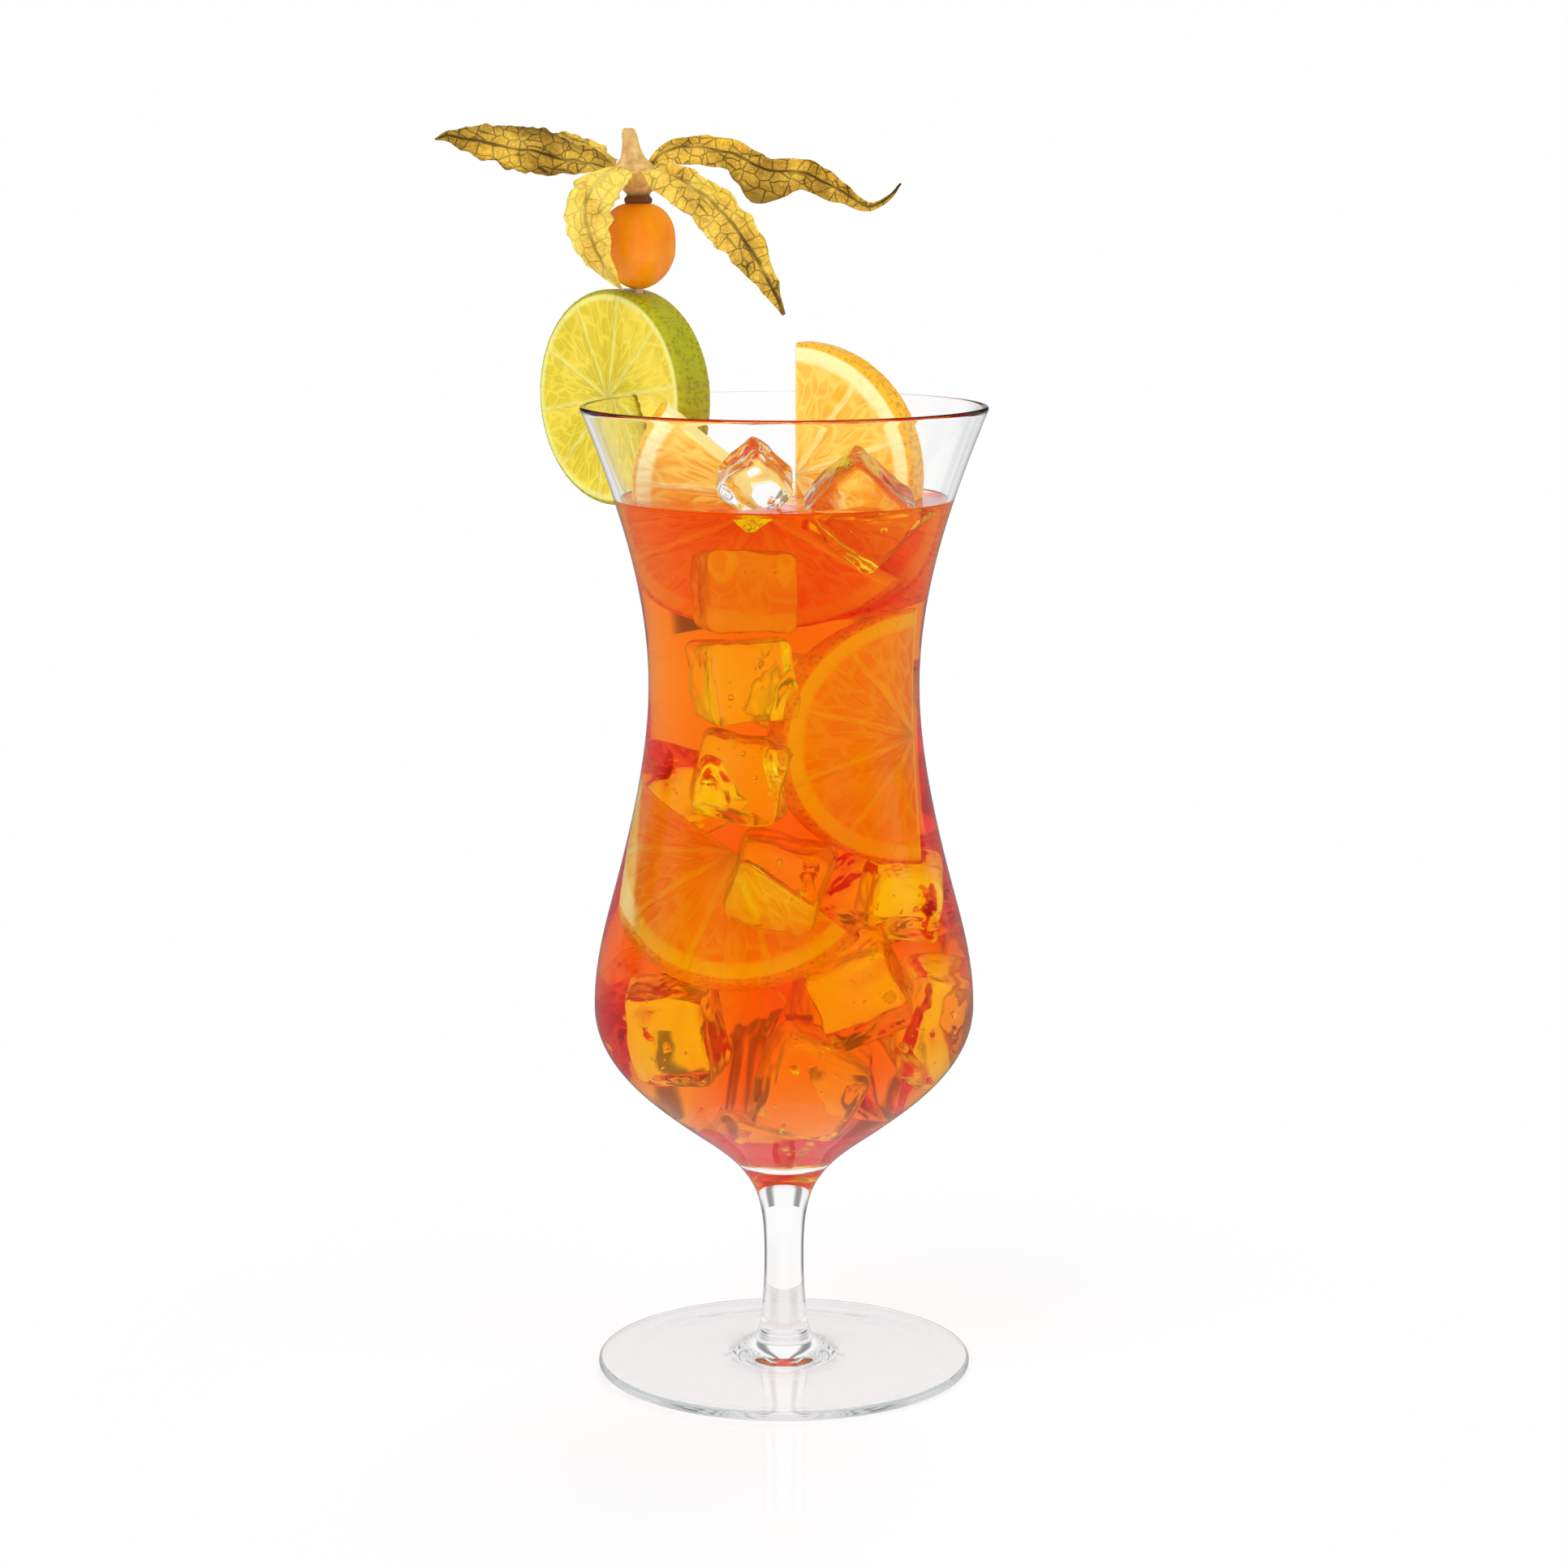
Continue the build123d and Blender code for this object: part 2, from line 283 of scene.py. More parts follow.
def outward(point):
    """Order of an outline that leads away from the axis."""
    return round(point[0], 6), point[1]


def inward(point):
    """Order of an outline that leads toward the axis."""
    return -round(point[0], 6), point[1]


def thinned(points, least):
    """Outline without points closer together than least."""
    kept = [points[0]]
    for point in points[1:]:
        if math.dist(point, kept[-1]) > least:
            kept.append(point)
    return np.array(kept)


def run_along(points):
    """Distance along an outline or a curve at each of its points."""
    return np.concatenate([[0], np.cumsum(np.linalg.norm(np.diff(points, axis=0), axis=1))])


def resampled(points, step):
    """Smooth outline through points, with even spacing."""
    points = np.asarray(points)
    run = run_along(points)
    slope = np.gradient(points, run, axis=0)
    places = np.linspace(0, run[-1], int(run[-1] / step) + 1)
    index = np.clip(np.searchsorted(run, places, side="right") - 1, 0, len(run) - 2)
    span = run[index + 1] - run[index]
    t = ((places - run[index]) / span)[:, None]
    span = span[:, None]
    start, end = points[index], points[index + 1]
    return (
        start * (2 * t**3 - 3 * t**2 + 1)
        + end * (3 * t**2 - 2 * t**3)
        + slope[index] * span * (t**3 - 2 * t**2 + t)
        + slope[index + 1] * span * (t**3 - t**2)
    )


def with_straights(points, is_straight, step):
    """Outline with points added along the stretches that are straight in the CAD solid."""
    filled = [points[0]]
    for start, end in zip(points, points[1:]):
        if is_straight(start, end):
            count = int(math.dist(start, end) / step)
            way = np.array(end) - start
            filled += [tuple(np.array(start) + way * i / count) for i in range(1, count)]
        filled.append(end)
    return filled


def turned(name, section, around):
    """Closed smooth solid of revolution from a section that starts and ends on the axis."""
    section = np.array(section)
    ring = section[1:-1]
    angles = np.arange(around) * TURN / around
    points = [(0, 0, section[0][1]), (0, 0, section[-1][1])]
    for radius, height in ring:
        points += [(radius * math.cos(a), radius * math.sin(a), height) for a in angles]
    faces = []
    last = len(ring) - 1
    for i in range(around):
        j = (i + 1) % around
        faces.append((0, 2 + j, 2 + i))
        for row in range(last):
            low = 2 + row * around
            high = low + around
            faces.append((low + i, low + j, high + j, high + i))
        faces.append((1, 2 + last * around + i, 2 + last * around + j))
    return mesh_from(name, points, faces)


wall_out = thinned(outline("bowl", lambda out, up, r: out > LOOKS_OUT, upward), WALL_GAP)
wall_in = thinned(outline("bowl", lambda out, up, r: out < LOOKS_IN, upward), WALL_GAP)
stem_side = outline("stem", lambda out, up, r: out > LOOKS_OUT, upward)
edge_start = FOOT_EDGE_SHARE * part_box("foot")[1][0]
foot_under = outline("foot", lambda out, up, r: up < LOOKS_DOWN and r < edge_start, outward)
foot_edge = outline("foot", lambda out, up, r: out > LOOKS_OUT and r > edge_start, upward)
foot_top = outline("foot", lambda out, up, r: out > LOOKS_OUT and r < edge_start, inward)
floor_middle = (0.0, float(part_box("drink")[0][2]))
drink_top = float(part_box("drink")[1][2])


# Shader helpers

class Nodes:
    """The node tree of a material or a world, and short ways to add to it."""

    def __init__(self, owner, output):
        owner.use_nodes = True
        self.tree = owner.node_tree
        self.tree.nodes.clear()
        self.output = self.add(output)

    def add(self, kind, **settings):
        """Node of a kind, with its properties set."""
        node = self.tree.nodes.new(kind)
        for key, value in settings.items():
            setattr(node, key, value)
        return node

    def link(self, source, target):
        """Join an output to an input."""
        self.tree.links.new(source, target)

    def put(self, socket, value):
        """Link an output to an input, or set the input to a plain value."""
        if isinstance(value, bpy.types.NodeSocket):
            self.link(value, socket)
        else:
            socket.default_value = value

    def feed(self, node, *values):
        """Put values on a node's inputs in order; gives its first output."""
        for socket, value in zip(node.inputs, values):
            self.put(socket, value)
        return node.outputs[0]

    def set(self, node, **values):
        """Put values on inputs by name, with spaces written as underscores."""
        for key, value in values.items():
            self.put(node.inputs[key.replace("_", " ")], value)
        return node

    def surface(self, node):
        """Join a shader to the output."""
        self.link(node.outputs[0], self.output.inputs["Surface"])

    def math(self, operation, *values):
        """Result of a sum on numbers or sockets."""
        return self.feed(self.add("ShaderNodeMath", operation=operation), *values)

    def span(self, value, low, high, start=0.0, end=1.0):
        """Value mapped smoothly from one span to another."""
        node = self.add("ShaderNodeMapRange", interpolation_type="SMOOTHSTEP")
        return self.feed(node, value, low, high, start, end)

    def parts(self, vector):
        """X, Y and Z of a vector."""
        node = self.add("ShaderNodeSeparateXYZ")
        self.feed(node, vector)
        return node.outputs

    def pair(self, x, y):
        """Vector of two numbers."""
        return self.feed(self.add("ShaderNodeCombineXYZ"), x, y)

    def mirrored(self, path):
        """Whether a ray comes from a pure reflection: sharp refraction counts as glossy too."""
        straight = self.math("SUBTRACT", 1.0, path["Is Transmission Ray"])
        return self.math("MULTIPLY", path["Is Glossy Ray"], straight)


class Shader(Nodes):
    """A new material and its nodes."""

    def __init__(self, name):
        self.material = bpy.data.materials.new(name)
        super().__init__(self.material, "ShaderNodeOutputMaterial")

    def principled(self, **values):
        """Main shader, joined to the output."""
        node = self.set(self.add("ShaderNodeBsdfPrincipled"), **values)
        self.surface(node)
        return node

    def blend(self, factor, first, second):
        """Mix of two shaders, joined to the output."""
        node = self.add("ShaderNodeMixShader")
        self.feed(node, factor, first.outputs[0], second.outputs[0])
        self.surface(node)

    def absorb(self, color, density):
        """Colour that light takes on along its way through the material."""
        node = self.set(self.add("ShaderNodeVolumeAbsorption"), Color=color, Density=density)
        self.link(node.outputs[0], self.output.inputs["Volume"])

    def noise(self, vector, scale, detail=2.0):
        """Soft noise at a scale."""
        node = self.add("ShaderNodeTexNoise")
        return self.set(node, Vector=vector, Scale=scale, Detail=detail).outputs["Fac"]

    def cells(self, vector, scale, feature="F1"):
        """Cell pattern at a scale."""
        node = self.add("ShaderNodeTexVoronoi", feature=feature)
        return self.set(node, Vector=vector, Scale=scale).outputs["Distance"]

    def ramp(self, value, *stops):
        """Colour ramp of (place, colour) stops."""
        node = self.add("ShaderNodeValToRGB")
        elements = node.color_ramp.elements
        while len(elements) < len(stops):
            elements.new(0.5)
        for element, (place, color) in zip(elements, stops):
            element.position = place
            element.color = color
        self.link(value, node.inputs["Fac"])
        return node.outputs["Color"]

    def mix(self, factor, first, second):
        """Mix of two colours."""
        node = self.add("ShaderNodeMix", data_type="RGBA")
        for index, value in ((0, factor), (6, first), (7, second)):
            self.put(node.inputs[index], value)
        return node.outputs[2]

    def bump(self, height, distance, strength):
        """Normal that follows a height pattern."""
        node = self.add("ShaderNodeBump")
        self.set(node, Height=height, Distance=distance, Strength=strength)
        return node.outputs["Normal"]

    def slant(self):
        """How far a surface turns away from the eye, from 0 to 1."""
        return self.set(self.add("ShaderNodeLayerWeight"), Blend=0.5).outputs["Facing"]

    def uv(self, name):
        """Coordinates of a UV map."""
        return self.add("ShaderNodeUVMap", uv_map=name).outputs[0]

    def value_of(self, name):
        """Number that the mesh carries."""
        return self.add("ShaderNodeAttribute", attribute_name=name).outputs["Fac"]

    def place(self):
        """Coordinates in the object's own space."""
        return self.add("ShaderNodeTexCoord").outputs["Object"]


# Glass

def glass_material():
    """Clear, faintly grey glass with painted shade along its outlines, most of all along the
    stem's.
    """
    shade = Shader("clear_glass")
    place = shade.place()
    slant = shade.slant()
    height = shade.parts(place)[2]
    # Painted shade: the colour darkens where the surface turns away from the eye, drawing the
    # glass's dark outlines; it is eased off at the foot and under the rim
    line = shade.ramp(
        slant,
        (0.82, WHITE),
        (0.93, (0.4, 0.41, 0.42, 1)),
        (1.0, (0.06, 0.07, 0.08, 1)),
    )
    above_foot = shade.span(height, 0.006, 0.03, 0.25, 1.0)
    below_rim = shade.span(height, 0.200, 0.2055, 1.0, 0.4)
    tint = shade.mix(shade.math("MULTIPLY", above_foot, below_rim), WHITE, line)
    # Stronger painted shade along the stem's outlines, between the hub and the bowl
    painted_stem_shade = shade.ramp(slant, (0.45, WHITE), (0.62, (0.04, 0.04, 0.05, 1)))
    above_hub = shade.span(height, 0.012, 0.022)
    below_bowl = shade.span(height, 0.034, 0.039, 1.0, 0.0)
    tint = shade.mix(shade.math("MULTIPLY", above_hub, below_bowl), tint, painted_stem_shade)
    ripple = shade.noise(place, 45.0, 1.0)
    shade.principled(
        Base_Color=tint,
        Roughness=0.0,
        IOR=1.5,
        Specular_Tint=(0.12, 0.12, 0.12, 1),
        Transmission_Weight=1.0,
        Normal=shade.bump(ripple, distance=0.02 * MM, strength=0.3),
    )
    shade.absorb((0.94, 0.947, 0.95, 1), 45.0)
    return shade.material


def glass_section():
    """Outline of the fused glass from under its foot, over the rim, to the floor of its bowl."""

    def on_table(start, end):
        flat = max(start[1], end[1]) < 0.01 * MM
        return flat and math.dist(start, end) > OUTLINE_STEP

    def on_disc(start, end):
        return math.dist(start, end) > 10 * MM

    under = with_straights(foot_under, on_table, OUTLINE_STEP)
    top = with_straights(foot_top, on_disc, OUTLINE_STEP)
    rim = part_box("bowl")[1]
    lip_middle = np.array((rim[0] - LIP_RADIUS, rim[2] - LIP_RADIUS))
    below_rim = rim[2] - wall_out[:, 1]
    near_lip = wall_out[(below_rim < 8 * MM) & (below_rim > 1.5 * MM)]
    rise = near_lip[-1] - near_lip[0]
    rise /= np.linalg.norm(rise)
    away = np.array((rise[1], -rise[0]))
    lip = [
        lip_middle + LIP_RADIUS * (math.cos(a) * away + math.sin(a) * rise)
        for a in np.linspace(0, math.pi, 9)
    ]
    under_lip = -0.1 * MM
    outer = wall_out[(wall_out - lip_middle) @ rise < under_lip]
    inner = wall_in[(wall_in - lip_middle) @ rise < under_lip][::-1]
    side = top + stem_side + list(outer)
    section = np.vstack([
        resampled(thinned(under, OUTLINE_GAP), OUTLINE_STEP),
        thinned(foot_edge, OUTLINE_GAP)[1:-1],
        resampled(thinned(side, OUTLINE_GAP), OUTLINE_STEP),
        lip,
        resampled(thinned(inner, OUTLINE_GAP), OUTLINE_STEP)[:-1],
        [floor_middle],
    ])
    section[0][0] = 0
    return section


def make_glass():
    """Bowl, stem and foot as the one body of glass that they are once fused."""
    made = new_object("glass_body", turned("glass_body", glass_section(), GLASS_AROUND))
    dress(made, "glass", glass_material(), "clear_glass", "bowl", "stem", "foot")


# Ice

def ice_material():
    """Wet clear ice with painted shade along its edges."""
    shade = Shader("clear_ice")
    ripple = shade.noise(shade.place(), 200.0, 2.0)
    # Painted shade: the colour darkens where the surface turns away from the eye, drawing dark
    # edges
    tint = shade.ramp(
        shade.slant(),
        (0.6, WHITE),
        (0.82, (0.42, 0.42, 0.4, 1)),
        (1.0, (0.06, 0.05, 0.04, 1)),
    )
    shade.principled(
        Base_Color=tint,
        Roughness=0.01,
        IOR=1.52,
        Specular_Tint=(0.3, 0.3, 0.3, 1),
        Transmission_Weight=1.0,
        Normal=shade.bump(ripple, distance=0.1 * MM, strength=0.3),
    )
    return shade.material


def ice_skin(node, seed):
    """Melted, dented cube in the place of a CAD cube."""
    melt, dent_depth, pit_depth, most = 0.4 * MM, 0.9 * MM, 0.25 * MM, 0.12 * MM
    mesh = remeshed(node, ICE_VOXEL)
    points = get_points(mesh)
    normals = get_normals(mesh)
    shift = Vector((seed * 0.37, seed * 0.11, seed * 0.23))
    dents = np.array([noise.noise(Vector(p) * 130 + shift) for p in points])
    pits = np.array([noise.noise(Vector(p) * 380 + shift) for p in points])
    depth = -melt + dent_depth * dents + pit_depth * pits
    set_points(mesh, points + normals * np.minimum(depth, most)[:, None])
    return mesh


def add_shell(target, mesh, grow, flip):
    """Copy a closed mesh into a bmesh, grown along its normals."""
    points = get_points(mesh) + get_normals(mesh) * grow
    corners = [target.verts.new(p) for p in points]
    for face in mesh.polygons:
        ring = [corners[i] for i in face.vertices]
        made = target.faces.new(ring[::-1] if flip else ring)
        made.smooth = True


def add_bubble(target, centre, radius):
    """Small round hollow in a bmesh."""
    made = bmesh.ops.create_icosphere(
        target, subdivisions=2, radius=radius, matrix=Matrix.Translation(centre)
    )
    faces = {f for v in made["verts"] for f in v.link_faces}
    for face in faces:
        face.smooth = True
    bmesh.ops.reverse_faces(target, faces=list(faces))


def make_ice(node, body, material, seed):
    """One ice cube with air bubbles in it; returns its skin."""
    skin = ice_skin(node, seed)
    work = bmesh.new()
    add_shell(work, skin, ICE_OVERLAP, False)
    dice = random.Random(seed)
    points = get_points(skin)
    centre = Vector(points.mean(axis=0))
    reach = 0.30 * min(points.max(axis=0) - points.min(axis=0))
    small, large = 4 + 3 * (seed % 3), 1 + seed % 3
    sizes = [dice.uniform(0.08, 0.3) for _ in range(small)]
    sizes += [dice.uniform(0.5, 0.9) for _ in range(large)]
    for size in sizes:
        offset = Vector([dice.uniform(-reach, reach) for _ in range(3)])
        add_bubble(work, centre + offset, size * MM)
    mesh = bpy.data.meshes.new(node + "_look")
    work.to_mesh(mesh)
    work.free()
    made = new_object(node + "_look", mesh)
    dress(made, body, material, "ice", node)
    return skin


# Drink

def drink_material():
    """Clear orange aperitif drink, amber where thin and red where deep."""
    shade = Shader("orange_drink")
    shade.principled(
        Base_Color=WHITE,
        Roughness=0.0,
        IOR=1.34,
        Specular_Tint=(0, 0, 0, 1),
        Transmission_Weight=1.0,
    )
    shade.absorb((0.9984, 0.914, 0.0, 1), 420.0)
    return shade.material


def liquid_mesh():
    """Liquid up to its surface, which creeps up the wall and is a little uneven."""
    wall = np.vstack([floor_middle, resampled(wall_in, DRINK_STEP)])
    wall = wall[wall[:, 1] < drink_top + CREEP]
    wall[1:, 0] += DRINK_OVERLAP
    edge = wall[-1][0]
    from_edge, falloff = (0.3, 0.7, 1.2, 1.8, 2.6, 3.6, 5.0), 0.9
    top = [(edge - d * MM, drink_top + CREEP * math.exp(-d / falloff)) for d in from_edge]
    calm = edge - 5.5 * MM
    top += [(radius, drink_top) for radius in np.arange(calm, 0.5 * MM, -0.7 * MM)]
    mesh = turned("drink_look", np.vstack([wall, top, [(0, drink_top)]]), DRINK_AROUND)
    wave_start = 4 * MM
    points = get_points(mesh)
    for point in points:
        inside = calm - math.hypot(point[0], point[1])
        if inside > 0 and abs(point[2] - drink_top) < 0.01 * MM:
            spot = Vector((point[0], point[1], 0))
            wave = 0.6 * noise.noise(spot * 150) + 0.2 * noise.noise(spot * 340)
            point[2] += min(1, inside / wave_start) * wave * MM
    set_points(mesh, points)
    return mesh


def make_drink(sunk, floats):
    """Liquid that fills the bowl, with hollows where the ice is."""
    made = new_object("drink_look", liquid_mesh())
    cutters = [new_object("cutter", skin.copy()) for skin in floats]
    for cutter in cutters:
        cut = made.modifiers.new("cut", "BOOLEAN")
        cut.operation = "DIFFERENCE"
        cut.solver = "EXACT"
        cut.object = cutter
    mesh = baked(made)
    made.modifiers.clear()
    for cutter in cutters:
        bpy.data.objects.remove(cutter)
    work = bmesh.new()
    work.from_mesh(mesh)
    for skin in sunk:
        add_shell(work, skin, 0.0, True)
    work.to_mesh(mesh)
    work.free()
    mesh.shade_smooth()
    made.data = mesh
    dress(made, "iced_drink", drink_material(), "orange_drink", "drink")


# Fruit

def fruit_material(name, rind, pith, pulp, deep, rind_share, pith_share):
    """Cut citrus: pored rind, pale pith, and pulp in segments of long juice cells.

    rind_share and pith_share are the shares of the radius at which rind and pith begin.
    """
    shade = Shader(name)
    place = shade.place()
    across, along, _ = shade.parts(shade.uv("slice"))
    squares = [shade.math("MULTIPLY", side, side) for side in (across, along)]
    radius = shade.math("SQRT", shade.math("ADD", *squares))
    angle = shade.math("ARCTAN2", along, across)
    wobble = shade.math("MULTIPLY", shade.math("SUBTRACT", shade.noise(place, 160.0), 0.5), 0.12)
    turn = shade.math("ADD", shade.math("MULTIPLY", angle, SEGMENTS / TURN), wobble)
    nearest = shade.math("ABSOLUTE", shade.math("SUBTRACT", shade.math("FRACT", turn), 0.5))
    arc = shade.math("MULTIPLY", radius, TURN / SEGMENTS)
    from_wall = shade.math("MULTIPLY", shade.math("SUBTRACT", 0.5, nearest), arc)
    skin = shade.span(from_wall, 0.012, 0.035, 1.0, 0.0)
    core = shade.span(radius, 0.05, 0.11, 1.0, 0.0)
    membrane = shade.math("MAXIMUM", skin, core)
    edge = shade.math("ADD", radius, shade.math("MULTIPLY", wobble, 0.25))
    in_pith = shade.span(edge, pith_share - 0.03, pith_share + 0.015)
    in_rind = shade.span(radius, rind_share - 0.012, rind_share + 0.012)
    cell_place = shade.pair(
        shade.math("MULTIPLY", turn, 5.0), shade.math("MULTIPLY", radius, 4.5)
    )
    cells = shade.cells(cell_place, 1.0, "DISTANCE_TO_EDGE")
    cell_line = shade.math("MULTIPLY", shade.span(cells, 0.0, 0.16, 1.0, 0.0), 0.25)
    tint = shade.math("ADD", shade.noise(place, 90.0, 3.0), cell_line)
    flesh = shade.mix(shade.span(tint, 0.3, 0.8), deep, pulp)
    color = shade.mix(shade.math("MULTIPLY", membrane, 0.5), flesh, pith)
    color = shade.mix(in_pith, color, pith)
    pores = shade.cells(place, 900.0)
    rind_dark = tuple(0.72 * c for c in rind[:3]) + (1,)
    skin_color = shade.mix(shade.span(pores, 0.1, 0.6), rind_dark, rind)
    color = shade.mix(in_rind, color, skin_color)
    plump = shade.math("MULTIPLY", shade.span(cells, 0.0, 0.3), 0.6)
    relief = shade.math("ADD", plump, shade.math("MULTIPLY", membrane, 0.5))
    rough_skin = shade.math("MULTIPLY", shade.span(pores, 0.0, 0.5), in_rind)
    height = shade.math("ADD", relief, shade.math("MULTIPLY", rough_skin, 0.5))
    shade.principled(
        Base_Color=color,
        Roughness=0.28,
        Subsurface_Weight=0.55,
        Subsurface_Radius=(1.0, 0.6, 0.25),
        Subsurface_Scale=4 * MM,
        Normal=shade.bump(height, distance=0.5 * MM, strength=0.7),
    )
    return shade.material


def slice_frame(node, radius):
    """Middle, rind direction and face direction of a cut round, found from its CAD node."""
    candidates, same_way, square_on = 40, 0.9995, 0.02
    same_middle, through_middle = 0.4 * MM, 0.3 * MM
    faces = nodes[node].data.polygons
    normals = np.array([f.normal for f in faces])
    areas = np.array([f.area for f in faces])
    largest = normals[np.argsort(areas)[-candidates:]]
    alike = largest @ normals.T > same_way
    widest = Vector(largest[np.argmax(alike @ areas)])
    sides = [f for f in faces if abs(f.normal.dot(widest)) < square_on]
    guesses = np.array([f.center - f.normal * radius for f in sides])
    flat = guesses - np.outer(guesses @ np.array(widest), np.array(widest))
    near = np.linalg.norm(flat[:, None] - flat[None], axis=2) < same_middle
    share = near @ np.array([f.area for f in sides])
    middle = Vector(guesses[near[np.argmax(share)]].mean(axis=0))
    cut = Vector()
    for face in sides:
        if abs((face.center - middle).dot(face.normal)) < through_middle:
            cut -= face.normal * face.area
    if cut.length < 1e-9:
        cut = Vector((0, 0, 1))
    rind = (cut - widest * cut.dot(widest)).normalized()
    return middle, rind, widest


def make_slice(node, body, material, slot, radius):
    """Cut fruit with pulp that lies a little lower than its membranes, pith and rind."""
    pulp_end, end_fade, wall_fade = 0.84, 0.05, 0.06
    middle, rind, face = slice_frame(node, radius)
    mesh = remeshed(node, FRUIT_VOXEL)
    points = get_points(mesh)
    normals = get_normals(mesh)
    across = face.cross(rind)
    offset = points - np.array(middle)
    flat = np.column_stack([offset @ np.array(across), offset @ np.array(rind)]) / radius
    reach = np.linalg.norm(flat, axis=1)
    turn = np.arctan2(flat[:, 1], flat[:, 0]) * SEGMENTS / TURN
    wall = (0.5 - np.abs(turn - np.floor(turn) - 0.5)) * reach * TURN / SEGMENTS
    pulp = np.clip((pulp_end - reach) / end_fade, 0, 1) * np.clip(wall / wall_fade, 0, 1)
    grain = np.array([noise.noise(Vector(p) * 700) for p in points])
    facing = np.abs(normals @ np.array(face)) ** 2
    sink = (0.25 + 0.2 * grain) * MM * pulp * facing
    set_points(mesh, points - normals * sink[:, None])
    add_uv(mesh, "slice", flat)
    made = new_object(node + "_look", mesh)
    dress(made, body, material, slot, node)


# Physalis

def berry_material():
    """Taut glossy orange skin, mottled a little."""
    shade = Shader("berry_skin")
    place = shade.place()
    mottle = shade.noise(place, 260.0, 4.0)
    tint = shade.ramp(mottle, (0.3, (0.95, 0.27, 0.002, 1)), (0.7, (0.95, 0.36, 0.004, 1)))
    grain = shade.noise(place, 1500.0, 2.0)
    shade.principled(
        Base_Color=tint,
        Roughness=0.3,
        Subsurface_Weight=0.6,
        Subsurface_Radius=(1.0, 0.4, 0.05),
        Subsurface_Scale=4 * MM,
        Normal=shade.bump(grain, distance=0.1 * MM, strength=0.3),
    )
    return shade.material


def make_berry():
    """Round berry with faint furrows running to its ends."""
    low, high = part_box("physalis_berry")
    middle = (low + high) / 2
    half_width = (high.x - low.x) / 2
    half_height = (high.z - low.z) / 2
    around, rows = 96, 56
    points = []
    for row in range(rows + 1):
        polar = math.pi * row / rows
        full_shoulder = (1 - max(math.cos(polar), 0) ** 2.5) ** 0.4
        width = full_shoulder if polar < math.pi / 2 else abs(math.sin(polar)) ** 1.1
        rise = half_height * math.cos(polar)
        for i in range(around):
            turn = TURN * i / around
            ahead = Vector((math.cos(turn), math.sin(turn), 3 * polar))
            furrow = 1 - 0.006 * (1 + math.cos(5 * turn)) * math.sin(polar)
            uneven = 1 - 0.012 * (1 + noise.noise(ahead))
            reach = half_width * width * furrow * uneven
            points.append((
                middle.x + reach * math.cos(turn),
                middle.y + reach * math.sin(turn),
                middle.z + rise,
            ))
    faces = []
    for row in range(rows):
        for i in range(around):
            j = (i + 1) % around
            a, b = row * around, (row + 1) * around
            faces.append((a + i, b + i, b + j, a + j))
    mesh = mesh_from("physalis_berry_look", points, faces)
    work = bmesh.new()
    work.from_mesh(mesh)
    bmesh.ops.remove_doubles(work, verts=work.verts, dist=1e-6)
    work.to_mesh(mesh)
    work.free()
    made = new_object("physalis_berry_look", mesh)
    dress(made, "physalis", berry_material(), "berry_skin", "physalis_berry")


def husk_material():
    """Dry papery husk: gold with a dark net of veins, letting light through."""
    shade = Shader("dry_husk")
    place = shade.place()
    across, along, _ = shade.parts(shade.uv("blade"))
    sway = shade.math("MULTIPLY", shade.math("SUBTRACT", shade.noise(place, 300.0), 0.5), 0.5)
    from_rib = shade.math("ADD", across, shade.math("MULTIPLY", sway, 0.3))
    rib = shade.span(shade.math("ABSOLUTE", from_rib), 0.02, 0.09, 1.0, 0.0)
    net_place = shade.pair(
        shade.math("ADD", shade.math("MULTIPLY", across, 2.2), sway),
        shade.math("MULTIPLY", along, 4.4),
    )
    wide = shade.cells(net_place, 1.0, "DISTANCE_TO_EDGE")
    fine = shade.cells(net_place, 2.6, "DISTANCE_TO_EDGE")
    net = shade.math(
        "MAXIMUM",
        shade.span(wide, 0.0, 0.06, 1.0, 0.0),
        shade.math("MULTIPLY", shade.span(fine, 0.0, 0.07, 1.0, 0.0), 0.4),
    )
    vein = shade.math("MAXIMUM", rib, net)
    blotch = shade.math("SUBTRACT", shade.noise(place, 110.0, 3.0), 0.25)
    # Partly real browning, partly painted light: a lower per-leaf value paints a paler gold, as
    # where light shines through
    patch = shade.math("ADD", shade.math("MULTIPLY", blotch, 1.4), shade.value_of("browning_and_painted_glow"))
    gold = shade.ramp(
        patch,
        (0.1, (1.0, 0.88, 0.22, 1)),
        (0.4, (0.92, 0.68, 0.11, 1)),
        (0.7, (0.58, 0.37, 0.04, 1)),
        (1.0, (0.28, 0.15, 0.02, 1)),
    )
    edge = shade.span(shade.math("ABSOLUTE", across), 0.85, 1.0, 0.0, 0.5)
    drawn = shade.math("MAXIMUM", vein, edge)
    depth = shade.math("MULTIPLY", drawn, shade.span(patch, 0.1, 0.7, 0.2, 0.95))
    color = shade.mix(depth, gold, (0.10, 0.045, 0.008, 1))
    wrinkle = shade.math("ADD", shade.math("MULTIPLY", vein, 0.6), shade.noise(place, 600.0, 3.0))
    normal = shade.bump(wrinkle, distance=0.4 * MM, strength=0.6)
    face = shade.principled(Base_Color=color, Roughness=0.5, Normal=normal)
    through = shade.set(shade.add("ShaderNodeBsdfTranslucent"), Color=color, Normal=normal)
    shade.blend(0.45, face, through)
    return shade.material


